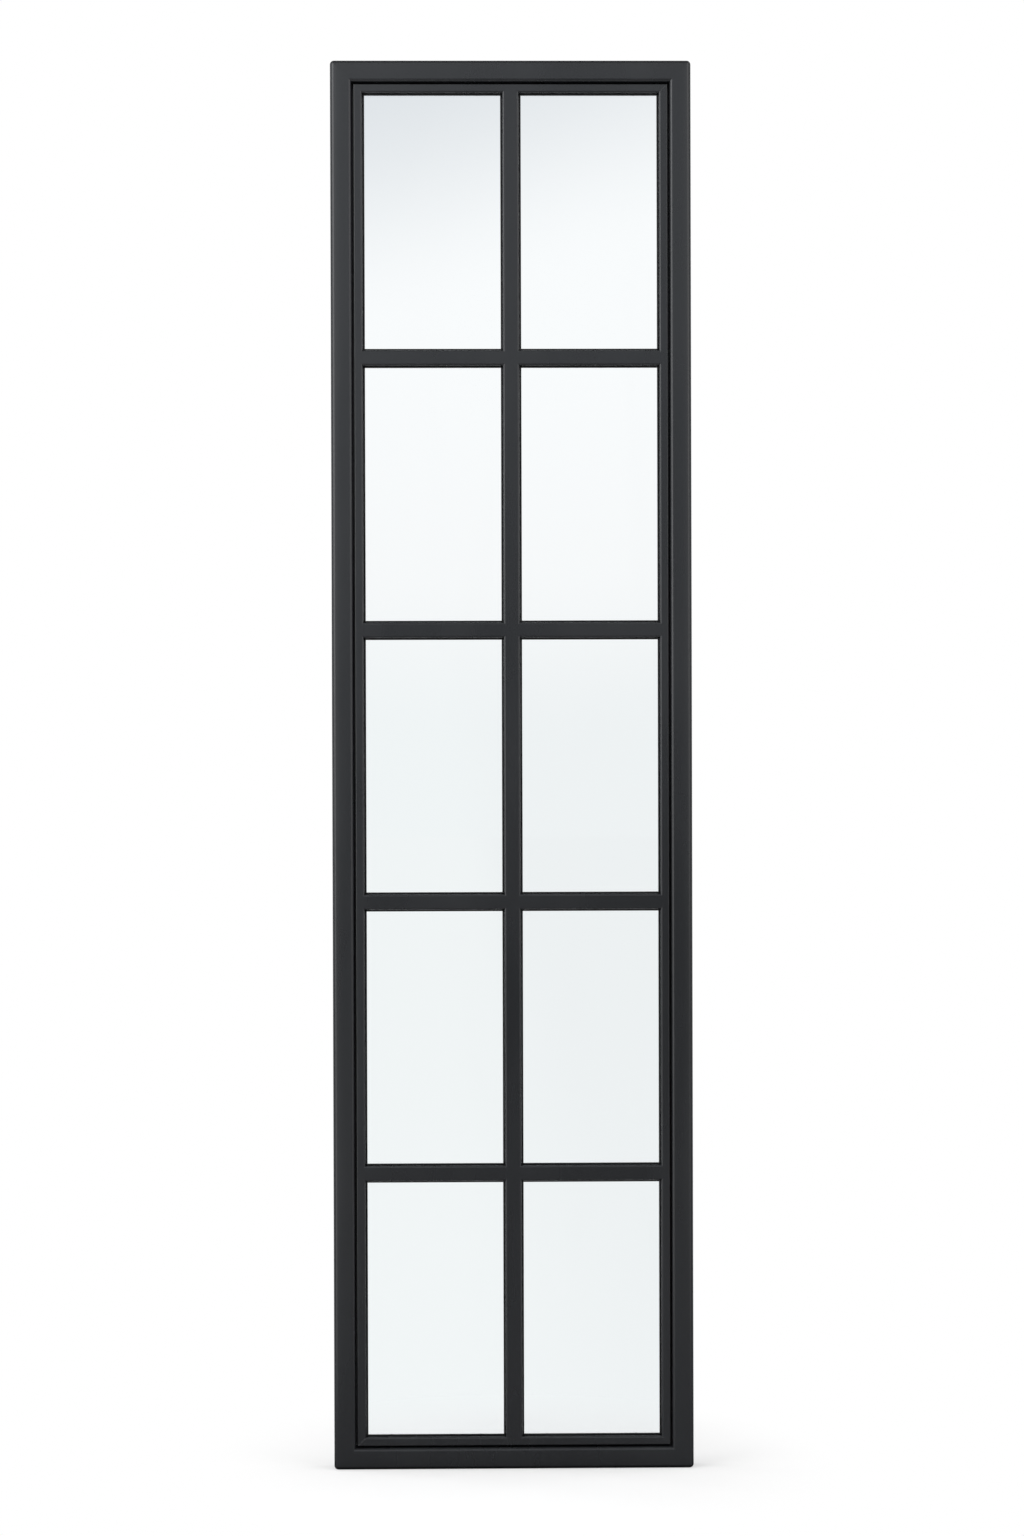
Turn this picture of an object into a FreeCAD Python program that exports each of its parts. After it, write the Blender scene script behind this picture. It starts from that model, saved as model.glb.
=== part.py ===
import FreeCAD, Part
import Sketcher
import operator
import os

# Steel framed window, a fixed inner sash of two columns and five rows of panes
# Frame of reference: X to the right, Y from the front to the back, Z up,
# origin in the middle of the underside of the sill
ROWS = 5
COLUMNS = ("left", "right")

doc = FreeCAD.newDocument("steel_framed_window")
sizes = doc.addObject("Spreadsheet::Sheet", "Sizes")

# Driving sizes in millimetres
driving = {
    "overall_width": 537,
    "overall_height": 2100,
    "frame_depth": 34,
    "frame_face": 31.8,
    "tube_wall": 2.5,
    "frame_edge_radius": 5.5,
    "frame_inner_radius": 4.5,
    "corner_ease": 0.5,
    "arris_radius": 3,
    "gap_radius": 1.5,
    "stop_thickness": 4,
    "sash_gap": 2.8,
    "sash_setback": 4,
    "sash_face": 13.2,
    "nose_depth": 7,
    "mullion_face": 25,
    "transom_face": 23,
    "bead_width": 7.5,
    "bead_kerf": 0.4,
    "glass_thickness": 5,
    "glass_clearance": 2,
    "gasket_thickness": 2.5,
    "gasket_lip": 2,
    "trim_radius": 1,
    "seal_thickness": 3,
    "fixing_hole": 9,
    "fixing_margin": 150,
}
for row, (alias, number) in enumerate(driving.items(), 1):
    sizes.set("A%d" % row, alias)
    sizes.set("B%d" % row, str(number))
    sizes.setAlias("B%d" % row, alias)
doc.recompute()

SIGNS = {"+": operator.add, "-": operator.sub, "*": operator.mul, "/": operator.truediv}


class Size:
    # A length that knows its worth in millimetres and the sheet expression that gives it
    def __init__(self, worth, text):
        self.worth = worth
        self.text = text

    def joined(self, sign, other):
        if not isinstance(other, Size):
            other = Size(other, str(other))
        text = "(%s %s %s)" % (self.text, sign, other.text)
        return Size(SIGNS[sign](self.worth, other.worth), text)

    def __add__(self, other):
        return self.joined("+", other)

    def __sub__(self, other):
        return self.joined("-", other)

    def __mul__(self, other):
        return self.joined("*", other)

    def __truediv__(self, other):
        return self.joined("/", other)


def size(alias):
    return Size(float(sizes.get(alias)), "Sizes.%s" % alias)


NONE = Size(0.0, "0")
width = size("overall_width")
height = size("overall_height")
depth = size("frame_depth")
face = size("frame_face")
wall = size("tube_wall")
edge = size("frame_edge_radius")
arris = size("arris_radius")
trim = size("trim_radius")
gap = size("sash_gap")
sash_face = size("sash_face")
nose = size("nose_depth")
bead = size("bead_width")
kerf = size("bead_kerf")
glass = size("glass_thickness")
clearance = size("glass_clearance")
gasket = size("gasket_thickness")
seal = size("seal_thickness")
stop = size("stop_thickness")
mullion_face = size("mullion_face")
transom_face = size("transom_face")

# Places that follow from the driving sizes
half_width = width / 2
sash_inset = face + gap
sash_width = width - sash_inset * 2
sash_height = height - sash_inset * 2
sash_depth = depth - stop - seal - size("sash_setback")
sash_web = sash_face - bead
sash_front = NONE - depth / 2 + size("sash_setback")
sash_back = sash_front + sash_depth
rebate_left = NONE - half_width + sash_inset + sash_web
rebate_foot = sash_inset + sash_web
rebate_width = sash_width - sash_web * 2
rebate_height = sash_height - sash_web * 2
mullion_stem = mullion_face - bead * 2
transom_stem = transom_face - bead * 2
pane_width = (rebate_width - mullion_stem) / 2
pane_height = (rebate_height - transom_stem * (ROWS - 1)) / ROWS
glazing_depth = gasket * 2 + glass
sightline = bead + size("gasket_lip")


def bound(thing, name, length):
    thing.setExpression(name, length.text)


def placed(thing, x, y, z):
    bound(thing, "Placement.Base.x", x)
    bound(thing, "Placement.Base.y", y)
    bound(thing, "Placement.Base.z", z)
    return thing


def pinned(sketch, corner, direction, axis, length):
    # Ties one coordinate of a corner to its size, or to the axis where that coordinate is nought
    if length is NONE:
        sketch.addConstraint(Sketcher.Constraint("PointOnObject", corner, 1, axis))
        return
    tie = Sketcher.Constraint(direction, -1, 1, corner, 1, length.worth)
    bound(sketch, "Constraints[%d]" % sketch.addConstraint(tie), length)


def outline(body, name, corners, plane="XZ_Plane", behind=NONE):
    # A closed outline of straight lines on one of the body's planes, or so far behind it
    sketch = body.newObject("Sketcher::SketchObject", name)
    support = next(item for item in body.Origin.OriginFeatures if item.Role == plane)
    sketch.AttachmentSupport = [(support, "")]
    sketch.MapMode = "FlatFace"
    if behind is not NONE:
        bound(sketch, "AttachmentOffset.Base.z", NONE - behind)
    points = [FreeCAD.Vector(x.worth, y.worth, 0) for x, y in corners]
    for start, end in zip(points, points[1:] + points[:1]):
        sketch.addGeometry(Part.LineSegment(start, end))
    count = len(corners)
    for corner in range(count):
        joint = Sketcher.Constraint("Coincident", corner, 2, (corner + 1) % count, 1)
        sketch.addConstraint(joint)
    for corner, (x, y) in enumerate(corners):
        pinned(sketch, corner, "DistanceX", -2, x)
        pinned(sketch, corner, "DistanceY", -1, y)
    return sketch


def oblong(wide, high, inset=NONE):
    # The four corners of an upright oblong that keeps one inset from its own edges
    if inset is NONE:
        return [(NONE, NONE), (wide, NONE), (wide, high), (NONE, high)]
    far_x = wide - inset
    far_z = high - inset
    return [(inset, inset), (far_x, inset), (far_x, far_z), (inset, far_z)]


def padded(body, sketch, length, backwards=True):
    pad = body.newObject("PartDesign::Pad", sketch.Name + "_pad")
    pad.Profile = sketch
    pad.Reversed = backwards
    bound(pad, "Length", length)
    doc.recompute()
    return pad


def pocketed(body, sketch, length=None):
    # Cuts back from the sketch, right through where no length is given
    before = body.Shape.Volume
    pocket = body.newObject("PartDesign::Pocket", sketch.Name + "_pocket")
    pocket.Profile = sketch
    if length is None:
        pocket.Type = "ThroughAll"
    else:
        bound(pocket, "Length", length)
    doc.recompute()
    if not 0 < body.Shape.Volume < before:
        raise RuntimeError("%s cuts nothing" % pocket.Name)
    return pocket


def rounded(body, radius, wanted):
    # Rounds the edges that the test picks out
    tip = body.Tip
    names = ["Edge%d" % number for number, item in enumerate(tip.Shape.Edges, 1) if wanted(item)]
    fillet = body.newObject("PartDesign::Fillet", body.Name + "_rounding")
    fillet.Base = (tip, names)
    bound(fillet, "Radius", radius)
    doc.recompute()
    return fillet


def lies_at(item, axis, place):
    # True where the whole edge keeps to one place along an axis
    low = getattr(item.BoundBox, axis + "Min")
    high = getattr(item.BoundBox, axis + "Max")
    return abs(low - place.worth) < 0.01 and abs(high - place.worth) < 0.01


def stands_in(item, wide, high, inset):
    # True where the edge keeps at least the inset from the rim of an upright oblong
    box = item.BoundBox
    near = min(box.XMin, box.ZMin, wide.worth - box.XMax, high.worth - box.ZMax)
    return near > inset.worth - 0.01


def slab(name, wide, high, thick):
    # An upright slab that starts at its own lower left front corner
    body = doc.addObject("PartDesign::Body", name)
    padded(body, outline(body, name + "_face", oblong(wide, high)), thick)
    return body


def opened(body, name, wide, high, inset, length=None, behind=NONE):
    return pocketed(body, outline(body, name, oblong(wide, high, inset), behind=behind), length)


def cut(name, base, tool):
    result = doc.addObject("Part::Cut", name)
    result.Base = base
    result.Tool = tool
    result.Refine = True
    doc.recompute()
    return result


# Outer frame: a rolled tube with a stop behind the sash, its front edges rounded on both sides
frame_ring = slab("frame_ring", width, height, depth)
corner_radius = edge + size("corner_ease")
rounded(frame_ring, corner_radius, lambda item: item.BoundBox.YLength > depth.worth - 0.01)
rounded(
    frame_ring,
    edge,
    lambda item: lies_at(item, "Y", NONE) or lies_at(item, "Y", depth),
)
opened(frame_ring, "sash_opening", width, height, face, depth - stop)
opened(frame_ring, "stop_opening", width, height, sash_inset + sash_web)
rounded(
    frame_ring,
    size("frame_inner_radius"),
    lambda item: lies_at(item, "Y", NONE) and stands_in(item, width, height, face),
)
placed(frame_ring, NONE - half_width, NONE - depth / 2, NONE)

# The hollow of the tube
hollow_width = width - wall * 2
hollow_height = height - wall * 2
hollow = slab("frame_hollow", hollow_width, hollow_height, depth - wall * 2)
opened(hollow, "hollow_core", hollow_width, hollow_height, face - wall * 2)
placed(hollow, wall - half_width, wall - depth / 2, wall)
frame_tube = cut("frame_tube", frame_ring, hollow)

# Four fixing holes through each jamb, level in pairs from jamb to jamb
fixing_margin = size("fixing_margin")
fixing_pitch = (height - fixing_margin * 2) / 3
drills = []
for number in range(4):
    drill = doc.addObject("Part::Cylinder", "fixing_drill_%d" % (number + 1))
    bound(drill, "Radius", size("fixing_hole") / 2)
    bound(drill, "Height", width)
    drill.Placement.Rotation = FreeCAD.Rotation(FreeCAD.Vector(0, 1, 0), 90)
    placed(drill, NONE - half_width, NONE, fixing_margin + fixing_pitch * number)
    drills.append(drill)
fixing_holes = doc.addObject("Part::Compound", "fixing_holes")
fixing_holes.Links = drills
frame_drilled = cut("frame_drilled", frame_tube, fixing_holes)

# Inner sash: nose in front of the glass, web around it, rounder towards the glass than at the gap
sash_ring = slab("sash_ring", sash_width, sash_height, sash_depth)
opened(sash_ring, "sash_light", sash_width, sash_height, sash_face)
opened(sash_ring, "sash_rebate", sash_width, sash_height, sash_web, behind=nose)
rounded(
    sash_ring,
    arris,
    lambda item: lies_at(item, "Y", NONE) and stands_in(item, sash_width, sash_height, sash_face),
)
rounded(
    sash_ring,
    size("gap_radius"),
    lambda item: lies_at(item, "Y", NONE) and not stands_in(item, sash_width, sash_height, sash_web),
)
placed(sash_ring, NONE - half_width + sash_inset, sash_front, sash_inset)

# Mitres: each side of the frame and of the sash keeps what lies nearest to its own edge
wedge_outlines = {
    "left": [
        (NONE, NONE),
        (half_width, half_width),
        (half_width, height - half_width),
        (NONE, height),
    ],
    "right": [
        (width, NONE),
        (width, height),
        (half_width, height - half_width),
        (half_width, half_width),
    ],
    "head": [(NONE, height), (half_width, height - half_width), (width, height)],
    "foot": [(NONE, NONE), (width, NONE), (half_width, half_width)],
}
wedges = {}
for side, corners in wedge_outlines.items():
    wedge = doc.addObject("PartDesign::Body", "wedge_" + side)
    padded(wedge, outline(wedge, "mitre_" + side, corners), depth)
    wedges[side] = placed(wedge, NONE - half_width, NONE - depth / 2, NONE)


def mitred(label, ring, side):
    member = doc.addObject("Part::Common", label)
    member.Base = ring
    member.Tool = wedges[side]
    member.Refine = True
    return member


nodes = [
    mitred("frame_head", frame_drilled, "head"),
    mitred("frame_sill", frame_drilled, "foot"),
    mitred("frame_left_jamb", frame_drilled, "left"),
    mitred("frame_right_jamb", frame_drilled, "right"),
    mitred("sash_top_rail", sash_ring, "head"),
    mitred("sash_bottom_rail", sash_ring, "foot"),
    mitred("sash_left_stile", sash_ring, "left"),
    mitred("sash_right_stile", sash_ring, "right"),
]

# Seal between the back of the sash and the stop of the frame
weather_seal = slab("weather_seal", sash_width, sash_height, seal)
opened(weather_seal, "seal_opening", sash_width, sash_height, sash_web)
placed(weather_seal, NONE - half_width + sash_inset, sash_back, sash_inset)
nodes.append(weather_seal)


def bar_section(wide, across):
    # A T with its nose to the front; across puts the width second, as a level bar needs
    corners = [
        (NONE, NONE),
        (wide, NONE),
        (wide, nose),
        (wide - bead, nose),
        (wide - bead, sash_depth),
        (bead, sash_depth),
        (bead, nose),
        (NONE, nose),
    ]
    return [(y, x) for x, y in reversed(corners)] if across else corners


def bar(name, wide, length, plane):
    body = doc.addObject("PartDesign::Body", name)
    section = bar_section(wide, plane == "YZ_Plane")
    padded(body, outline(body, name + "_section", section, plane), length, False)
    long_way = "Z" if plane == "XY_Plane" else "X"
    rounded(
        body,
        arris,
        lambda item: lies_at(item, "Y", NONE)
        and getattr(item.BoundBox, long_way + "Length") > length.worth - 0.01,
    )
    return body


# Glazing bars, coped at their ends so that every face finishes flush
mullion_run = bar("mullion_run", mullion_face, rebate_height, "XY_Plane")
placed(mullion_run, NONE - mullion_face / 2, sash_front, rebate_foot)
nodes.append(cut("mullion_bar", mullion_run, sash_ring))
for row in range(1, ROWS):
    rise = (pane_height + transom_stem) * (ROWS - row) - transom_stem - bead
    run = bar("transom_run_%d" % row, transom_face, rebate_width, "YZ_Plane")
    placed(run, rebate_left, sash_front, rebate_foot + rise)
    in_sash = cut("transom_in_sash_%d" % row, run, sash_ring)
    nodes.append(cut("transom_bar_%d" % row, in_sash, mullion_run))

# Each pane with its gasket, a lip in front and flush behind, and four beads screwed in at the back
for row in range(1, ROWS + 1):
    foot = rebate_foot + (pane_height + transom_stem) * (ROWS - row)
    for column, side in enumerate(COLUMNS):
        tag = "%d_%s" % (row, side)
        left = rebate_left + (pane_width + mullion_stem) * column
        pane = slab("glass_pane_" + tag, pane_width - clearance * 2, pane_height - clearance * 2, glass)
        placed(pane, left + clearance, sash_front + nose + gasket, foot + clearance)

        channel = slab("gasket_ring_" + tag, pane_width, pane_height, glazing_depth)
        opened(channel, "gasket_light_" + tag, pane_width, pane_height, sightline)
        opened(channel, "gasket_back_" + tag, pane_width, pane_height, bead, behind=gasket + glass)
        rounded(
            channel,
            trim,
            lambda item: lies_at(item, "Y", NONE)
            and stands_in(item, pane_width, pane_height, sightline),
        )
        placed(channel, left, sash_front + nose, foot)

        bead_depth = sash_depth - nose - glazing_depth
        beads = slab("glazing_beads_" + tag, pane_width, pane_height, bead_depth)
        beads.AllowCompound = True
        opened(beads, "bead_light_" + tag, pane_width, pane_height, bead)
        rounded(
            beads,
            trim,
            lambda item: lies_at(item, "Y", bead_depth)
            and stands_in(item, pane_width, pane_height, bead),
        )
        for name, level in (("low", bead), ("high", pane_height - bead - kerf)):
            saw = [
                (NONE, level),
                (pane_width, level),
                (pane_width, level + kerf),
                (NONE, level + kerf),
            ]
            pocketed(beads, outline(beads, "bead_joint_%s_%s" % (name, tag), saw))
        placed(beads, left, sash_front + nose + glazing_depth, foot)
        nodes += [pane, cut("glazing_gasket_" + tag, channel, pane), beads]

doc.recompute()
for thing in doc.Objects:
    if "Invalid" in thing.State or "Error" in thing.State:
        raise RuntimeError("%s did not build: %s" % (thing.Name, thing.State))
os.makedirs("parts", exist_ok=True)
for node in nodes:
    if node.Shape.isNull() or not node.Shape.isValid():
        raise RuntimeError("%s has no valid shape" % node.Label)
    node.Shape.exportStep("parts/%s.step" % node.Label)
    print(node.Label, len(node.Shape.Solids), round(node.Shape.Volume))
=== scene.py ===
import math

import bpy
import numpy as np
from mathutils import Euler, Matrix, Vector


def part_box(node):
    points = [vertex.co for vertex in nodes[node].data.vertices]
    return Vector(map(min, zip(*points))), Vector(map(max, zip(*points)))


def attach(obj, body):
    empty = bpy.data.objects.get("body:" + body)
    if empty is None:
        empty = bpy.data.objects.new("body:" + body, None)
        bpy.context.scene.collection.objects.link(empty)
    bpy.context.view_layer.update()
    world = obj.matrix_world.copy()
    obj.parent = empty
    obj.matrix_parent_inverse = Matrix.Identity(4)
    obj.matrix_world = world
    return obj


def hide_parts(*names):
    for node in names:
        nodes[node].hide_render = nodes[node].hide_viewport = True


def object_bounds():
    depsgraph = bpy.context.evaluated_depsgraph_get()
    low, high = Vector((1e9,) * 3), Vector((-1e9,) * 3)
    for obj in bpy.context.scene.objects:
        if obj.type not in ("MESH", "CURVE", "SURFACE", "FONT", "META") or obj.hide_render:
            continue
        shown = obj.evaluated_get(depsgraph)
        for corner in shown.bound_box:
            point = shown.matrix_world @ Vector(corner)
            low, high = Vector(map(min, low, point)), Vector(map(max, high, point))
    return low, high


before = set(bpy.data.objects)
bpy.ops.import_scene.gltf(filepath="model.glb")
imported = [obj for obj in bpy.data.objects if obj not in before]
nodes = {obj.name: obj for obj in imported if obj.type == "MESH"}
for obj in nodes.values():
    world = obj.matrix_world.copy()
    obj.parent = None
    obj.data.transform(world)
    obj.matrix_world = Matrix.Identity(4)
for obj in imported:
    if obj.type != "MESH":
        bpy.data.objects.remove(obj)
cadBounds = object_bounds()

paneTags = sorted(name.removeprefix("glass_pane_") for name in nodes if name.startswith("glass_pane_"))
halfWidth = cadBounds[1].x
fullHeight = cadBounds[1].z
mm = 0.001
white = (1.0, 1.0, 1.0, 1.0)
print("frame loaded:", len(nodes), "nodes,", len(paneTags), "panes")


# Small helpers for node trees and meshes

def plug(tree, socket, value):
    # a socket is wired, anything else is set as the plain value
    if isinstance(value, bpy.types.NodeSocket):
        tree.links.new(value, socket)
    else:
        socket.default_value = value


def addNode(tree, kind, settings=None, **inputs):
    # an underscore in an input's name stands for a space
    node = tree.nodes.new(kind)
    for name, value in (settings or {}).items():
        setattr(node, name, value)
    for name, value in inputs.items():
        plug(tree, node.inputs[name.replace("_", " ")], value)
    return node


def maths(tree, operation, first, second=0.0, third=0.0):
    node = addNode(tree, "ShaderNodeMath", {"operation": operation})
    for socket, value in zip(node.inputs, (first, second, third)):
        plug(tree, socket, value)
    return node.outputs[0]


def ramped(tree, value, low, high, start=0.0, end=1.0):
    # smooth step from start to end while the value goes from low to high
    node = addNode(tree, "ShaderNodeMapRange", {"interpolation_type": "SMOOTHSTEP"})
    for socket, item in zip(node.inputs, (value, low, high, start, end)):
        plug(tree, socket, item)
    return node.outputs[0]


def mixed(tree, share, first, second):
    # from the first colour to the second as the share goes from 0 to 1
    node = addNode(tree, "ShaderNodeMix", {"data_type": "RGBA"})
    plug(tree, node.inputs[0], share)
    plug(tree, node.inputs[6], first)
    plug(tree, node.inputs[7], second)
    return node.outputs[2]


def noise(tree, vector, scale, detail, twist=0.0):
    node = addNode(
        tree, "ShaderNodeTexNoise", Vector=vector, Scale=scale, Detail=detail, Distortion=twist,
    )
    return node.outputs["Fac"]


def raised(tree, height, distance, under=None, inwards=False):
    # a bump of so many metres, on top of another one where that is given
    node = addNode(
        tree, "ShaderNodeBump", {"invert": inwards}, Strength=1.0, Distance=distance, Height=height,
    )
    if under is not None:
        plug(tree, node.inputs["Normal"], under)
    return node.outputs[0]


def split(tree, vector):
    return addNode(tree, "ShaderNodeSeparateXYZ", Vector=vector).outputs


def newGroup(name, inputs, outputs):
    group = bpy.data.node_groups.new(name, "ShaderNodeTree")
    for label, kind in inputs.items():
        group.interface.new_socket(label, in_out="INPUT", socket_type="NodeSocket" + kind)
    for label in outputs:
        group.interface.new_socket(label, in_out="OUTPUT", socket_type="NodeSocketFloat")
    given = group.nodes.new("NodeGroupInput").outputs
    put = group.nodes.new("NodeGroupOutput").inputs
    return group, given, put


def placeGroup(tree, group, **inputs):
    return addNode(tree, "ShaderNodeGroup", {"node_tree": group}, **inputs).outputs


def newMaterial(name):
    mat = bpy.data.materials.new(name)
    mat.use_nodes = True
    tree = mat.node_tree
    coord = tree.nodes.new("ShaderNodeTexCoord")
    return mat, tree, tree.nodes["Principled BSDF"], coord.outputs


def gridFaces(rows, columns):
    # every cell of a grid that closes on itself along its columns, as four corner numbers
    row, column = np.meshgrid(np.arange(rows - 1), np.arange(columns), indexing="ij")
    after = (column + 1) % columns
    here = row * columns
    there = here + columns
    return np.stack([here + column, here + after, there + after, there + column], -1).reshape(-1, 4)


def addPiece(name, points, faces, mat, sharpAngle=40.0):
    # smooth all over, but for edges that turn by more than the sharp angle
    mesh = bpy.data.meshes.new(name)
    mesh.from_pydata(points.reshape(-1, 3), [], faces)
    mesh.polygons.foreach_set("use_smooth", np.ones(len(mesh.polygons), bool))
    mesh.set_sharp_from_angle(angle=math.radians(sharpAngle))
    mesh.materials.append(mat)
    mesh.update()
    piece = bpy.data.objects.new(name, mesh)
    bpy.context.scene.collection.objects.link(piece)
    return piece


# Effects that several finishes share

skinShape = {
    "peelDetail": 1.5,
    "peelShare": 0.7,                  # how much of the height is orange peel, and how much is grain
    "grainShare": 0.3,
    "grainDetail": 2.0,
    "grainSpread": (0.35, 0.68),
    "cloudStretch": (1.0, 1.0, 0.3),   # clouds are drawn out upwards
    "cloudDetail": 4.0,
    "cloudTwist": 0.4,
    "cloudSpread": (0.3, 0.7),
}


def makePowderSkin(shape):
    # orange peel and fine grain for the height, slow clouds for the tone
    group, given, put = newGroup(
        "powderSkin",
        {"Vector": "Vector", "Peel Scale": "Float", "Grain Scale": "Float", "Cloud Scale": "Float"},
        ["Height", "Grain", "Cloud"],
    )
    place = given["Vector"]
    peel = noise(group, place, given["Peel Scale"], shape["peelDetail"])
    grain = noise(group, place, given["Grain Scale"], shape["grainDetail"])
    grained = maths(group, "MULTIPLY", grain, shape["grainShare"])
    plug(group, put["Height"], maths(group, "MULTIPLY_ADD", peel, shape["peelShare"], grained))
    plug(group, put["Grain"], ramped(group, grain, *shape["grainSpread"]))
    drawn = addNode(group, "ShaderNodeMapping", Vector=place, Scale=shape["cloudStretch"]).outputs[0]
    clouds = noise(group, drawn, given["Cloud Scale"], shape["cloudDetail"], shape["cloudTwist"])
    plug(group, put["Cloud"], ramped(group, clouds, *shape["cloudSpread"]))
    return group


edgeRubAndSheenShape = {
    "lean": (0.03, 0.24),              # how far the normal is from the nearest axis, where the rub and its painted highlight set in
    "patchDetail": 5.0,
    "patchSpread": (0.3, 0.72),
    "patchLeast": 0.25,
}


def makeEdgeRubAndSheen(shape):
    # a rounded edge is where the normal leaves all three axes; noise breaks the rub into patches.
    # The paler edge this mask gives is part worn paint and part painted highlight
    group, given, put = newGroup(
        "edgeRubAndSheen",
        {"Normal": "Vector", "Vector": "Vector", "Patch Scale": "Float"},
        ["Mask"],
    )
    size = addNode(group, "ShaderNodeVectorMath", {"operation": "ABSOLUTE"})
    plug(group, size.inputs[0], given["Normal"])
    axes = split(group, size.outputs[0])
    most = maths(group, "MAXIMUM", maths(group, "MAXIMUM", axes[0], axes[1]), axes[2])
    leaning = ramped(group, maths(group, "SUBTRACT", 1.0, most), *shape["lean"])
    spots = noise(group, given["Vector"], given["Patch Scale"], shape["patchDetail"])
    patches = ramped(group, spots, *shape["patchSpread"], shape["patchLeast"], 1.0)
    plug(group, put["Mask"], maths(group, "MULTIPLY", leaning, patches))
    return group


def makeFramePlaces():
    # how far a point is from the nearer side, and from the nearer of sill and head
    group, given, put = newGroup(
        "framePlaces",
        {"Vector": "Vector", "Half Width": "Float", "Height": "Float"},
        ["From Side", "From End"],
    )
    axes = split(group, given["Vector"])
    across = maths(group, "ABSOLUTE", axes[0])
    plug(group, put["From Side"], maths(group, "SUBTRACT", given["Half Width"], across))
    fromHead = maths(group, "SUBTRACT", given["Height"], axes[2])
    plug(group, put["From End"], maths(group, "MINIMUM", axes[2], fromHead))
    return group


def makeMitreLine():
    # two members meet where a point is as far from the side as from the sill or head
    group, given, put = newGroup(
        "mitreLine",
        {"From Side": "Float", "From End": "Float", "Line": "Float", "Border": "Float"},
        ["Mask"],
    )
    apart = maths(group, "ABSOLUTE", maths(group, "SUBTRACT", given["From Side"], given["From End"]))
    onLine = ramped(group, apart, 0.0, given["Line"], 1.0, 0.0)
    outer = maths(group, "MAXIMUM", given["From Side"], given["From End"])
    inBorder = maths(group, "LESS_THAN", outer, given["Border"])
    plug(group, put["Mask"], maths(group, "MULTIPLY", onLine, inBorder))
    return group


def makeCrownedFace():
    # the rolled face falls away towards the rim as a power of the way out from its inner edge
    group, given, put = newGroup(
        "crownedFace",
        {"From Side": "Float", "From End": "Float", "Face": "Float", "Power": "Float"},
        ["Height"],
    )
    inset = maths(group, "MINIMUM", given["From Side"], given["From End"])
    out = maths(group, "SUBTRACT", 1.0, maths(group, "DIVIDE", inset, given["Face"]))
    out = maths(group, "MAXIMUM", out, 0.0)
    fall = maths(group, "POWER", out, given["Power"])
    plug(group, put["Height"], maths(group, "MULTIPLY", fall, -1.0))
    return group


frontHalf = (-0.08, 0.02)    # forward fades out here, on the way from the front to the back


def makeBearings():
    # which way a direction points along the floor, as a sine: 0 in front, -1 at the left and 1 at the
    # right; forward is 1 in the half in front of the window
    group, given, put = newGroup("bearings", {"Vector": "Vector"}, ["Bearing", "Forward"])
    axes = split(group, given["Vector"])
    square = maths(group, "MULTIPLY_ADD", axes[0], axes[0], maths(group, "MULTIPLY", axes[1], axes[1]))
    plug(group, put["Bearing"], maths(group, "DIVIDE", axes[0], maths(group, "SQRT", square)))
    plug(group, put["Forward"], ramped(group, axes[1], *frontHalf, 1.0, 0.0))
    return group


wipeShape = {
    "turn": (0.0, 0.45, 0.0),
    "stretch": (1.0, 1.0, 0.22),
    "streakDetail": 5.0,
    "streakTwist": 1.2,
    "streakSpread": (0.42, 0.75),
    "patchScale": 0.3,                 # against the scale of the streaks
    "patchDetail": 2.0,
    "patchSpread": (0.35, 0.7),
}


def makeWipeMarks(shape):
    # long soft streaks, as a cloth leaves them, that show in wide patches
    group, given, put = newGroup("wipeMarks", {"Vector": "Vector", "Scale": "Float"}, ["Mask"])
    place = given["Vector"]
    turned = addNode(
        group, "ShaderNodeMapping", Vector=place, Rotation=shape["turn"], Scale=shape["stretch"],
    ).outputs[0]
    streaks = noise(group, turned, given["Scale"], shape["streakDetail"], shape["streakTwist"])
    streaks = ramped(group, streaks, *shape["streakSpread"])
    wide = maths(group, "MULTIPLY", given["Scale"], shape["patchScale"])
    patches = ramped(group, noise(group, place, wide, shape["patchDetail"]), *shape["patchSpread"])
    plug(group, put["Mask"], maths(group, "MULTIPLY", streaks, patches))
    return group


powderSkin = makePowderSkin(skinShape)
edgeRubAndSheen = makeEdgeRubAndSheen(edgeRubAndSheenShape)
framePlaces = makeFramePlaces()
mitreLine = makeMitreLine()
crownedFace = makeCrownedFace()
bearings = makeBearings()
wipeMarks = makeWipeMarks(wipeShape)
print("shared effects made")


# Charcoal powder coat on all the steel

charcoalCoat = {
    "deep": (0.0112, 0.0122, 0.0137, 1.0),
    "pale": (0.0142, 0.0153, 0.0170, 1.0),
    "grainShare": 0.35,        # how much of the way from deep to pale is grain, and how much is clouds
    "cloudShare": 0.65,
    # paler on rounded edges: worn paint and a painted highlight along the arrises
    "rubbed": (0.034, 0.036, 0.039, 1.0),
    "rubAndSheenShare": 0.35,
    "peelScale": 420.0,
    "grainScale": 1900.0,
    "cloudScale": 7.0,
    "patchScale": 60.0,
    "wipeScale": 9.0,
    "roughness": (0.25, 0.31),
    "wipedRoughness": 0.23,
    "peelHeight": 0.035 * mm,
}

frameMember = {
    "jointTone": (0.006, 0.006, 0.0065, 1.0),
    "jointShare": 0.18,
    "jointLine": 0.3 * mm,
    "jointDepth": 0.02 * mm,
    "border": 31.8 * mm,       # mitres end this far from the rim
    "face": 31.8 * mm,
    "crown": 0.95 * mm,
    "crownPower": 4.0,
}

sashMember = {
    "jointTone": (0.004, 0.004, 0.0045, 1.0),
    "jointShare": 0.6,
    "jointLine": 0.6 * mm,
    "jointDepth": 0.10 * mm,
    "border": 49 * mm,
}


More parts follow.
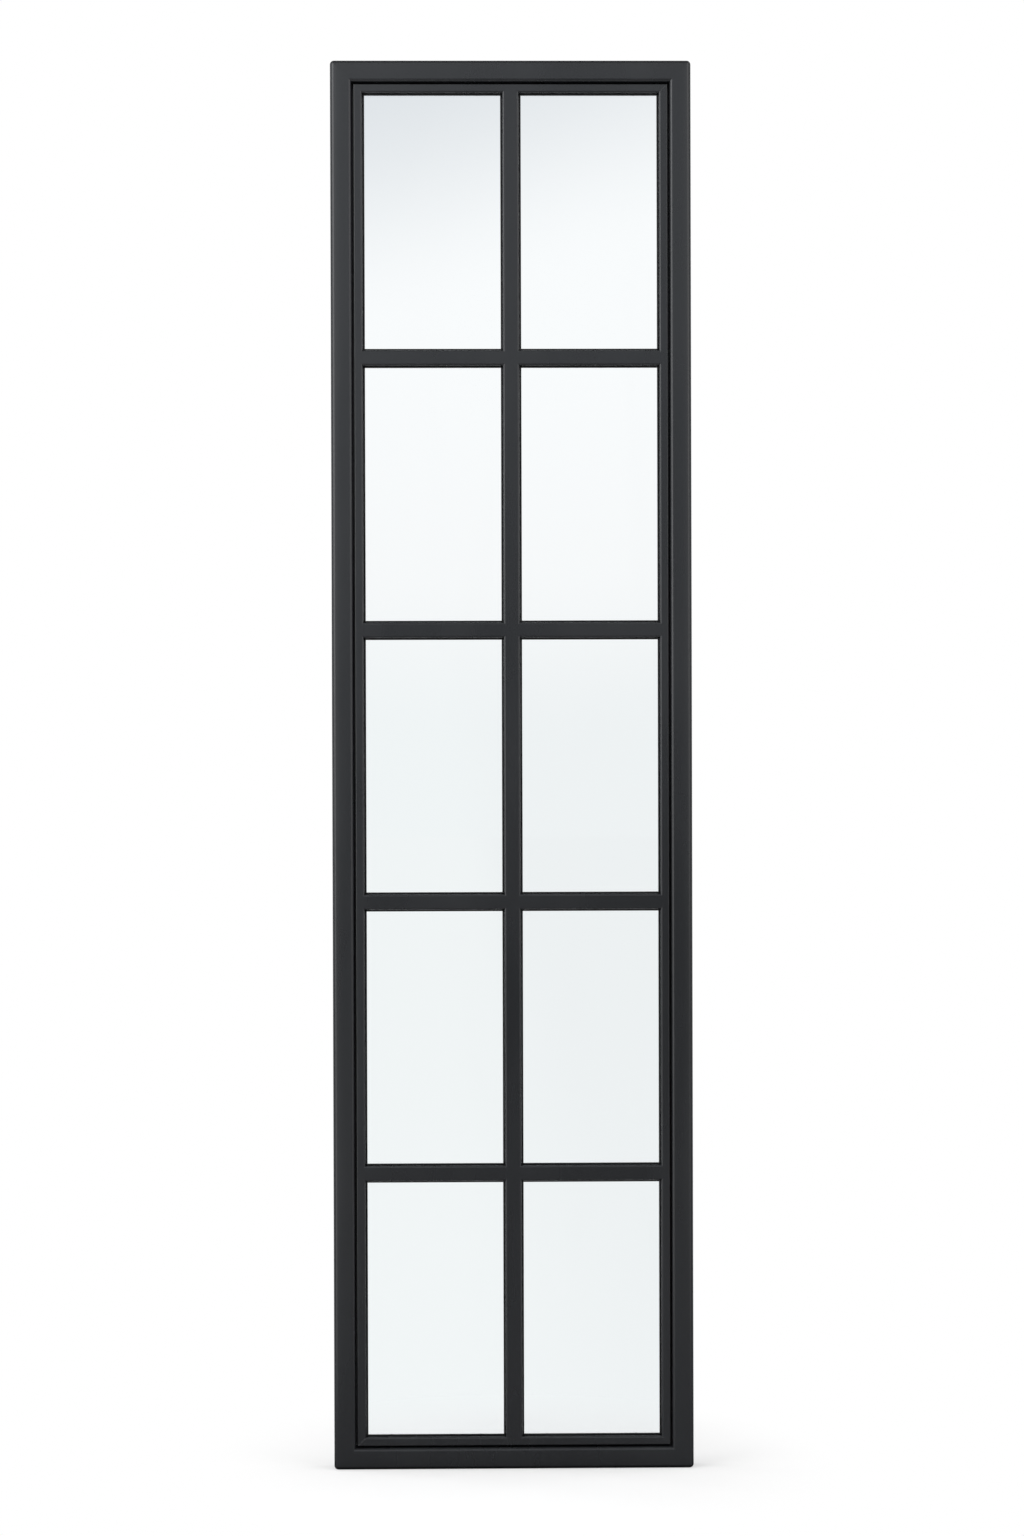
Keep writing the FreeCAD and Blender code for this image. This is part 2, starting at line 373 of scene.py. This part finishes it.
def makeCharcoal(name, coat, member=None):
    # the tone follows grain, clouds and rubbed edges (paler there: part worn paint, part painted
    # highlight), and the gloss follows clouds and wipe marks; members of the frame and the sash have a dark
    # line at each mitre, and those of the frame a crowned face
    mat, tree, shader, coord = newMaterial(name)
    place = coord["Object"]
    skin = placeGroup(
        tree, powderSkin, Vector=place, Peel_Scale=coat["peelScale"],
        Grain_Scale=coat["grainScale"], Cloud_Scale=coat["cloudScale"],
    )
    rubbed = placeGroup(
        tree, edgeRubAndSheen, Normal=coord["Normal"], Vector=place, Patch_Scale=coat["patchScale"],
    )["Mask"]
    wiped = placeGroup(tree, wipeMarks, Vector=place, Scale=coat["wipeScale"])["Mask"]
    clouded = maths(tree, "MULTIPLY", skin["Cloud"], coat["cloudShare"])
    shade = maths(tree, "MULTIPLY_ADD", skin["Grain"], coat["grainShare"], clouded)
    tone = mixed(tree, shade, coat["deep"], coat["pale"])
    # rounded edges go paler: part worn paint, part painted highlight
    tone = mixed(tree, maths(tree, "MULTIPLY", rubbed, coat["rubAndSheenShare"]), tone, coat["rubbed"])
    low, high = coat["roughness"]
    gloss = maths(tree, "MULTIPLY_ADD", skin["Cloud"], high - low, low)
    gloss = maths(tree, "MULTIPLY_ADD", wiped, coat["wipedRoughness"] - low, gloss)
    bump = None
    if member:
        where = placeGroup(tree, framePlaces, Vector=place, Half_Width=halfWidth, Height=fullHeight)
        sides = {"From_Side": where["From Side"], "From_End": where["From End"]}
        joint = placeGroup(
            tree, mitreLine, Line=member["jointLine"], Border=member["border"], **sides,
        )["Mask"]
        tone = mixed(tree, maths(tree, "MULTIPLY", joint, member["jointShare"]), tone, member["jointTone"])
        bump = raised(tree, joint, member["jointDepth"], inwards=True)
        if "crown" in member:
            rolled = placeGroup(
                tree, crownedFace, Face=member["face"], Power=member["crownPower"], **sides,
            )["Height"]
            bump = raised(tree, rolled, member["crown"], bump)
    plug(tree, shader.inputs["Base Color"], tone)
    plug(tree, shader.inputs["Roughness"], gloss)
    plug(tree, shader.inputs["Normal"], raised(tree, skin["Height"], coat["peelHeight"], bump))
    return mat


frameCoat = makeCharcoal("charcoalFrameCoat", charcoalCoat, frameMember)
sashCoat = makeCharcoal("charcoalSashCoat", charcoalCoat, sashMember)
barCoat = makeCharcoal("charcoalBarCoat", charcoalCoat)
coatOf = {
    "frame": frameCoat,
    "sash": sashCoat,
    "mullion": barCoat,
    "transom": barCoat,
    "glazing_beads": barCoat,
}
for name, node in nodes.items():
    for start, coat in coatOf.items():
        if name.startswith(start):
            node.data.materials[0] = coat
print("steel coated")


# Black rubber of the gaskets and the weather seal

blackRubber = {
    "black": (0.005, 0.005, 0.0053, 1.0),
    "bloom": (0.011, 0.011, 0.0115, 1.0),
    "cloudShare": 0.7,         # how much of the bloom is clouds, and how much is wipe marks
    "wipeShare": 0.3,
    "peelScale": 700.0,
    "grainScale": 3200.0,
    "cloudScale": 22.0,
    "wipeScale": 30.0,
    "roughness": (0.42, 0.55),
    "shine": 0.40,
    "skinHeight": 0.02 * mm,
}


def makeRubber(name, rubber):
    # black with a pale bloom in clouds and wipe marks, and rougher where the clouds are
    mat, tree, shader, coord = newMaterial(name)
    place = coord["Object"]
    skin = placeGroup(
        tree, powderSkin, Vector=place, Peel_Scale=rubber["peelScale"],
        Grain_Scale=rubber["grainScale"], Cloud_Scale=rubber["cloudScale"],
    )
    wiped = placeGroup(tree, wipeMarks, Vector=place, Scale=rubber["wipeScale"])["Mask"]
    rubbed = maths(tree, "MULTIPLY", wiped, rubber["wipeShare"])
    bloom = maths(tree, "MULTIPLY_ADD", skin["Cloud"], rubber["cloudShare"], rubbed)
    low, high = rubber["roughness"]
    plug(tree, shader.inputs["Base Color"], mixed(tree, bloom, rubber["black"], rubber["bloom"]))
    plug(tree, shader.inputs["Roughness"], maths(tree, "MULTIPLY_ADD", skin["Cloud"], high - low, low))
    plug(tree, shader.inputs["Normal"], raised(tree, skin["Height"], rubber["skinHeight"]))
    shader.inputs["Specular IOR Level"].default_value = rubber["shine"]
    return mat


gasketRubber = makeRubber("blackGasketRubber", blackRubber)
nodes["weather_seal"].data.materials[0] = gasketRubber


# Gaskets: a round bead behind a fine groove in front of the pane, a slot for it, and flush behind

gasketLip = {
    "hidden": 7.5 * mm,        # what the nose and the glazing beads cover
    "lip": 2.8 * mm,           # what shows beyond the nose
    "grooveDepth": 0.5 * mm,
    "grooveWidth": 0.4 * mm,
    "lipTaper": 0.3 * mm,      # how far the lip draws back where it meets the glass
    "roundSteps": 9,
}


def gasketProfile(lip, front, back, paneFront, paneBack, slotFoot):
    # the section as (inset, depth): flat foot, groove, a half circle for the bead, a tapered lip down to
    # the glass, the slot around the pane's edge, and a flat flange behind
    sightline = lip["hidden"] + lip["lip"]
    radius = (lip["lip"] - lip["grooveWidth"]) / 2
    turn = np.linspace(math.pi, 2 * math.pi, lip["roundSteps"])
    crown = np.stack([np.cos(turn), np.sin(turn)], -1) * radius + (sightline - radius, front + radius)
    return np.concatenate([
        [(0.0, front)],
        [(lip["hidden"], front)],
        [(lip["hidden"] + lip["grooveWidth"] / 2, front + lip["grooveDepth"])],
        crown,
        [(sightline - lip["lipTaper"], paneFront)],
        [(slotFoot, paneFront)],
        [(slotFoot, paneBack)],
        [(lip["hidden"], paneBack)],
        [(lip["hidden"], back)],
        [(0.0, back)],
    ])


def gasketRing(profile, low, high):
    # the profile goes round the four corners of the rebate: each inset shrinks the rectangle
    middle = (low + high) / 2
    reach = (high - low) / 2
    corners = np.array([(-1, -1), (-1, 1), (1, 1), (1, -1)], float)
    across = corners[:, None, 0] * (reach[0] - profile[None, :, 0]) + middle[0]
    upright = corners[:, None, 1] * (reach[2] - profile[None, :, 0]) + middle[2]
    depth = np.broadcast_to(profile[None, :, 1], across.shape)
    return np.stack([across, depth, upright], -1)


for tag in paneTags:
    low, high = (np.array(corner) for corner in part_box("glazing_gasket_" + tag))
    paneLow, paneHigh = (np.array(corner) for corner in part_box("glass_pane_" + tag))
    profile = gasketProfile(gasketLip, low[1], high[1], paneLow[1], paneHigh[1], paneLow[0] - low[0])
    ring = gasketRing(profile, low, high)
    corners, count = ring.shape[:2]
    faces = gridFaces(corners + 1, count) % (corners * count)
    gasket = addPiece("gasket_" + tag, ring, faces, gasketRubber)
    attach(gasket, "root")
    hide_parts("glazing_gasket_" + tag)
print("gaskets moulded")


# Clear glass

clearGlass = {
    "tint": (0.958, 0.975, 0.982, 1.0),
    "film": (0.935, 0.952, 0.960, 1.0),
    "wipeScale": 5.0,
    "filmRoughness": 0.03,
    "waveScale": 5.0,
    "waveDetail": 1.0,
    "waveHeight": 0.05 * mm,
    "refraction": 1.5,
}


def makeGlass(name, pane):
    # clear, with a faint film in wipe marks and a slow wave in its surface
    mat, tree, shader, coord = newMaterial(name)
    wiped = placeGroup(tree, wipeMarks, Vector=coord["Object"], Scale=pane["wipeScale"])["Mask"]
    plug(tree, shader.inputs["Base Color"], mixed(tree, wiped, pane["tint"], pane["film"]))
    plug(tree, shader.inputs["Roughness"], maths(tree, "MULTIPLY", wiped, pane["filmRoughness"]))
    wave = noise(tree, coord["Object"], pane["waveScale"], pane["waveDetail"])
    plug(tree, shader.inputs["Normal"], raised(tree, wave, pane["waveHeight"]))
    shader.inputs["IOR"].default_value = pane["refraction"]
    shader.inputs["Transmission Weight"].default_value = 1.0
    return mat


glass = makeGlass("clearFloatGlass", clearGlass)
for tag in paneTags:
    pane = nodes["glass_pane_" + tag]
    pane.data.materials[0] = glass
    pane.visible_shadow = False
print("glass set")


# Bead screws: small round heads with a six-sided socket, driven sideways through the beads

beadScrew = {
    "headRadius": 1.8 * mm,
    "headRise": 0.7 * mm,
    "domeFrom": 0.5,                   # angle from the axis at which the dome begins
    "domePower": 0.7,                  # below 1 it is flatter on top than a ball
    "domeSteps": 5,
    "socketFlat": 0.75 * mm,
    "socketDepth": 0.6 * mm,
    "socketSwell": (0.96, 1.0, 1.08),  # against the flat: at the floor, under the rim and on it
    "rimShares": (0.84, 0.92),         # of the rise, for the last two
    "sunk": 0.2 * mm,
    "beadWidth": 7.5 * mm,
    "spokes": 24,
    "uprightShares": (0.1, 0.5, 0.9),
    "levelShares": (0.2, 0.8),
}


def screwHead(screw):
    # rings of radius and rise about the axis: the socket swells to a hexagon with the angle, the dome
    # follows a sine and a power of the cosine, and the rim goes a little way into the bead
    angle = np.linspace(0, 2 * math.pi, screw["spokes"], endpoint=False)
    hexagon = screw["socketFlat"] / np.cos((angle + math.pi / 6) % (math.pi / 3) - math.pi / 6)
    lean = np.linspace(screw["domeFrom"], math.pi / 2, screw["domeSteps"])
    top = screw["headRise"]
    dome = screw["headRadius"] * np.append(np.sin(lean), 1.0)
    radii = np.concatenate([np.outer(screw["socketSwell"], hexagon), np.outer(dome, np.ones_like(angle))])
    socketRises = np.append(top - screw["socketDepth"], top * np.array(screw["rimShares"]))
    rises = np.concatenate([socketRises, top * np.cos(lean) ** screw["domePower"], [-screw["sunk"]]])
    rises = np.broadcast_to(rises[:, None], radii.shape)
    return np.stack([radii * np.cos(angle), -radii * np.sin(angle), rises], -1)


def screwPlaces(screw, low, high):
    # half way through the depth of each bead, on the side that faces the middle of the pane
    upright = np.array(screw["uprightShares"]) * (high[2] - low[2]) + low[2]
    level = np.array(screw["levelShares"]) * (high[0] - low[0]) + low[0]
    sides = np.array([low[0] + screw["beadWidth"], high[0] - screw["beadWidth"]])
    ends = np.array([low[2] + screw["beadWidth"], high[2] - screw["beadWidth"]])
    standing = np.stack(np.meshgrid(sides, upright), -1).reshape(-1, 2)
    lying = np.stack(np.meshgrid(level, ends), -1).reshape(-1, 2)
    spots = np.concatenate([standing, lying])
    middle = (low + high) / 2
    inwards = np.zeros((len(spots), 3))
    inwards[:len(standing), 0] = np.sign(middle[0] - standing[:, 0])
    inwards[len(standing):, 2] = np.sign(middle[2] - lying[:, 1])
    return np.stack([spots[:, 0], np.full(len(spots), middle[1]), spots[:, 1]], -1), inwards


head = screwHead(beadScrew)
rings, spokes = head.shape[:2]
depthAxis = (0.0, 1.0, 0.0)
for row in sorted({tag.split("_")[0] for tag in paneTags}):
    boxes = [np.array(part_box("glazing_beads_" + tag)) for tag in paneTags if tag.startswith(row)]
    found = [screwPlaces(beadScrew, low, high) for low, high in boxes]
    places, inwards = (np.concatenate(part)[:, None, None, :] for part in zip(*found))
    along = np.cross(depthAxis, inwards)
    points = places + head[..., :1] * along + head[..., 1:2] * depthAxis + head[..., 2:] * inwards
    starts = (np.arange(len(places)) * rings * spokes)[:, None, None]
    faces = (gridFaces(rings, spokes) + starts).reshape(-1, 4).tolist()
    faces += (np.arange(spokes)[::-1] + starts[:, 0]).tolist()                     # floor of each socket
    faces += (np.arange(spokes) + (rings - 1) * spokes + starts[:, 0]).tolist()    # underside of each head
    screws = addPiece("bead_screws_" + row, points, faces, barCoat)
    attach(screws, "root")
print("beads screwed")


# Stage: floor, studio and camera

softBoxes = {
    "from": (0.16, 0.34),      # bearings over which a soft box begins, and over which it ends
    "to": (0.80, 0.94),
}


def boxShare(tree, around, side):
    # 1 where a bearing lies in the soft box on that side, which is -1 for left and 1 for right
    turn = maths(tree, "MULTIPLY", around["Bearing"], side)
    window = maths(tree, "MULTIPLY", ramped(tree, turn, *softBoxes["from"]), around["Forward"])
    return maths(tree, "MULTIPLY", window, ramped(tree, turn, *softBoxes["to"], 1.0, 0.0))


stageFloor = {
    "reach": 30.0,
    "whiteSpan": (0.27, 0.50),         # the shadow shows as far as this, and is gone at the next distance
    "nearGlow": 0.41,
    "nearAlbedo": 0.52,
    "bounce": (0.30, 0.30, 0.31, 1.0),
    "leftGlow": 1.2,                   # painted pools of light: what the edges mirror of the floor under the soft boxes
    "rightGlow": 0.50,
    "glowSpan": (0.50, 0.80),          # and how far out from the middle of the window that begins
    "paintedContactShade": (0.03, 0.03, 0.03, 1.0),
    "paintedContactSpan": (0.017, 0.025),     # a painted contact shadow: the floor close to the sill is dark in its mirror
    "behindGlow": 0.60,                # a painted glow on the floor far behind, mirrored under the beads
    "behindSpan": (0.3, 1.5),
    "panesSee": (0.945, 0.968, 0.966, 1.0),
    # darker to the right: painted shade, the window's shadow on the floor behind
    "panesSeeRightShaded": (0.915, 0.935, 0.937, 1.0),
    "rightSpan": (-0.15, 0.35),
}


def makeFloor(floor):
    # a level grid of nine points: the camera and the panes see it turn white away from the window, and
    # the paint mirrors painted pools of light on the floor under the soft boxes and far behind
    steps = np.linspace(-floor["reach"], floor["reach"], 3)
    across, along = np.meshgrid(steps, steps)
    points = np.stack([across, along, np.zeros_like(across)], -1)
    corner = np.array([0, 1, 3, 4])[:, None]
    faces = np.concatenate([corner, corner + 1, corner + 4, corner + 3], 1)
    mat, tree, shader, coord = newMaterial("studioFloor")
    place = coord["Object"]
    axes = split(tree, place)
    path = tree.nodes.new("ShaderNodeLightPath").outputs
    seen = maths(tree, "MAXIMUM", path["Is Camera Ray"], path["Is Transmission Ray"])
    offPaint = maths(tree, "GREATER_THAN", path["Is Glossy Ray"], path["Is Transmission Ray"])

    far = addNode(tree, "ShaderNodeVectorMath", {"operation": "LENGTH"})
    plug(tree, far.inputs[0], place)
    fading = ramped(tree, far.outputs["Value"], *floor["whiteSpan"])
    glow = maths(tree, "MULTIPLY_ADD", fading, 1.0 - floor["nearGlow"], floor["nearGlow"])
    grey = maths(tree, "MULTIPLY_ADD", fading, -floor["nearAlbedo"], floor["nearAlbedo"])
    # painted contact shadow: the floor next to the sill is dark to every ray but the camera's and the
    # panes'
    clearOfSill = ramped(tree, maths(tree, "ABSOLUTE", axes[1]), *floor["paintedContactSpan"])
    bounce = mixed(tree, clearOfSill, floor["paintedContactShade"], floor["bounce"])
    plug(tree, shader.inputs["Base Color"], mixed(tree, seen, bounce, grey))

    # painted pools of light on the floor under the soft boxes and far behind, shown only to glossy rays
    around = placeGroup(tree, bearings, Vector=place)
    underBoxes = maths(
        tree, "MULTIPLY_ADD", boxShare(tree, around, -1.0), floor["leftGlow"],
        maths(tree, "MULTIPLY", boxShare(tree, around, 1.0), floor["rightGlow"]),
    )
    aside = ramped(tree, maths(tree, "ABSOLUTE", axes[0]), *floor["glowSpan"])
    behind = ramped(tree, axes[1], *floor["behindSpan"], 0.0, floor["behindGlow"])
    mirrored = maths(tree, "MULTIPLY", maths(tree, "MULTIPLY_ADD", underBoxes, aside, behind), offPaint)
    # the floor seen through the panes darkens to the right, a painted shade
    toRight = ramped(tree, axes[0], *floor["rightSpan"])
    through = mixed(tree, toRight, floor["panesSee"], floor["panesSeeRightShaded"])
    shining = addNode(
        tree, "ShaderNodeVectorMath", {"operation": "SCALE"},
        Scale=maths(tree, "MULTIPLY_ADD", seen, glow, mirrored),
    )
    plug(tree, shining.inputs[0], mixed(tree, path["Is Transmission Ray"], white, through))
    plug(tree, shader.inputs["Emission Color"], shining.outputs[0])
    shader.inputs["Emission Strength"].default_value = 1.0
    shader.inputs["Roughness"].default_value = 1.0
    shader.inputs["Specular IOR Level"].default_value = 0.0
    return addPiece("studio_floor", points, faces, mat)


makeFloor(stageFloor)

# a span is the stretch of one coordinate of the direction over which a tone changes
studioWorld = {
    "ambient": (0.42, 0.42, 0.42, 1.0),
    "backdropLow": (0.935, 0.962, 0.962, 1.0),     # seen through the panes, from the horizon up
    "backdropLowRight": (0.920, 0.941, 0.943, 1.0),
    "backdrop": (0.995, 1.0, 1.0, 1.0),
    "backdropHigh": (0.76, 0.785, 0.81, 1.0),
    "lowSpan": (0.0, 0.06),
    "highSpan": (0.145, 0.235),
    "rightSpan": (-0.01, 0.02),
    "leftTilt": 0.30,                              # the high tone comes lower at the left
    "flag": (0.10, 0.10, 0.10, 1.0),               # dark card behind
    "frontLow": (0.22, 0.23, 0.25, 1.0),           # what the face mirrors, from the horizon up
    "frontHigh": (0.79, 0.85, 0.925, 1.0),
    "frontTop": (0.70, 0.72, 0.76, 1.0),
    "frontRise": (0.03, 0.14),
    "frontFall": (0.17, 0.30),
    "frontEdge": (0.02, 0.20),
    "boxRise": (-0.12, 0.20),                      # soft boxes that the edges mirror
    "boxTop": (0.55, 0.85),
    "leftLow": (2.8, 2.8, 2.82, 1.0),
    "leftHigh": (3.9, 3.95, 4.0, 1.0),
    "rightLow": (2.0, 2.0, 2.01, 1.0),
    "rightHigh": (1.9, 1.9, 1.93, 1.0),
    "leftCard": (0.55, 0.55, 0.56, 1.0),           # grey cards beside the soft boxes
    "rightCard": (0.40, 0.40, 0.41, 1.0),
    "cardEdge": (-0.5, -0.3),
    "topCard": (0.22, 0.22, 0.22, 1.0),
    "topSpan": (0.62, 0.82),
    "behindSpan": (0.45, 0.80),                    # the backdrop behind, as the edges mirror it
    "behindRise": (0.0, 0.15),                     # dimmer at the horizon
    "behindLeast": 0.3,
    "behindTop": (0.22, 0.45),                     # and gone above this
}


def makeWorld(studio):
    # tones that change with the direction, one set for each kind of ray
    world = bpy.data.worlds.new("studioWorld")
    world.use_nodes = True
    tree = world.node_tree
    background = tree.nodes["Background"]
    direction = tree.nodes.new("ShaderNodeTexCoord").outputs["Generated"]
    x, y, z = split(tree, direction)
    left = maths(tree, "MULTIPLY", x, -1.0)
    towards = maths(tree, "MULTIPLY", y, -1.0)
    path = tree.nodes.new("ShaderNodeLightPath").outputs

    # seen through the panes
    rising = maths(tree, "MULTIPLY_ADD", left, studio["leftTilt"], z)
    toRight = ramped(tree, x, *studio["rightSpan"])
    through = mixed(tree, toRight, studio["backdropLow"], studio["backdropLowRight"])
    through = mixed(tree, ramped(tree, z, *studio["lowSpan"]), through, studio["backdrop"])
    through = mixed(tree, ramped(tree, rising, *studio["highSpan"]), through, studio["backdropHigh"])

    # mirrored in the paint: a graded wall in front, a soft box and a card on each side, a card above
    around = placeGroup(tree, bearings, Vector=direction)
    front = mixed(tree, ramped(tree, z, *studio["frontRise"]), studio["frontLow"], studio["frontHigh"])
    front = mixed(tree, ramped(tree, z, *studio["frontFall"]), front, studio["frontTop"])
    mirrored = mixed(tree, ramped(tree, towards, *studio["frontEdge"]), studio["flag"], front)
    rise = ramped(tree, z, *studio["boxRise"])
    under = ramped(tree, z, *studio["boxTop"], 1.0, 0.0)
    nearBy = ramped(tree, towards, *studio["cardEdge"])
    for name, side in (("left", -1.0), ("right", 1.0)):
        turn = maths(tree, "MULTIPLY", around["Bearing"], side)
        beyond = maths(tree, "MULTIPLY", ramped(tree, turn, *softBoxes["to"]), nearBy)
        mirrored = mixed(tree, beyond, mirrored, studio[name + "Card"])
        box = mixed(tree, rise, studio[name + "Low"], studio[name + "High"])
        mirrored = mixed(tree, maths(tree, "MULTIPLY", boxShare(tree, around, side), under), mirrored, box)
    above = maths(tree, "MULTIPLY", ramped(tree, z, *studio["topSpan"]), nearBy)
    mirrored = mixed(tree, above, mirrored, studio["topCard"])

    # and the backdrop behind
    behind = ramped(tree, y, *studio["behindSpan"])
    lowDown = maths(
        tree, "MULTIPLY", ramped(tree, z, *studio["behindRise"], studio["behindLeast"], 1.0),
        ramped(tree, z, *studio["behindTop"], 1.0, 0.0),
    )
    mirrored = mixed(tree, maths(tree, "MULTIPLY", behind, lowDown), mirrored, studio["backdrop"])

    colour = mixed(tree, path["Is Glossy Ray"], studio["ambient"], mirrored)
    colour = mixed(tree, path["Is Transmission Ray"], colour, through)
    colour = mixed(tree, path["Is Camera Ray"], colour, white)
    plug(tree, background.inputs["Color"], colour)
    bpy.context.scene.world = world


makeWorld(studioWorld)

studioLamps = {
    "keyLeft": {"at": (-2.2, -1.0, 1.9), "aim": (0.0, -1.0, 1.9), "size": (4.0, 2.4), "power": 96.0},
    "fillRight": {"at": (2.2, -1.0, 1.9), "aim": (0.0, -1.0, 1.9), "size": (4.0, 2.4), "power": 60.0},
    "overhead": {"at": (0.0, -0.4, 3.6), "aim": (0.0, -0.4, 1.0), "size": (2.4, 1.6), "power": 20.0},
}
for name, lamp in studioLamps.items():
    data = bpy.data.lights.new(name, "AREA")
    data.shape = "RECTANGLE"
    data.size, data.size_y = lamp["size"]
    data.energy = lamp["power"]
    light = bpy.data.objects.new(name, data)
    light.location = lamp["at"]
    light.rotation_euler = (Vector(lamp["aim"]) - Vector(lamp["at"])).to_track_quat("-Z", "Y").to_euler()
    light.visible_glossy = False       # the soft boxes of the world stand in their places
    light.visible_transmission = False
    light.visible_camera = False
    bpy.context.scene.collection.objects.link(light)

photoCamera = {
    "at": (-0.06, -4.46685, 1.08336),
    "lens": 70.0,
    "pitch": -0.00819,         # angles in radians, from a level view along the depth
    "roll": 0.00285,
    "yaw": -0.0134,
}
cameraData = bpy.data.cameras.new("photoCamera")
cameraData.lens = photoCamera["lens"]
camera = bpy.data.objects.new("photoCamera", cameraData)
camera.location = photoCamera["at"]
camera.rotation_euler = Euler((math.pi / 2 + photoCamera["pitch"], photoCamera["roll"], photoCamera["yaw"]))
bpy.context.scene.collection.objects.link(camera)
bpy.context.scene.camera = camera
bpy.context.scene.view_settings.view_transform = "Standard"
print("stage set")
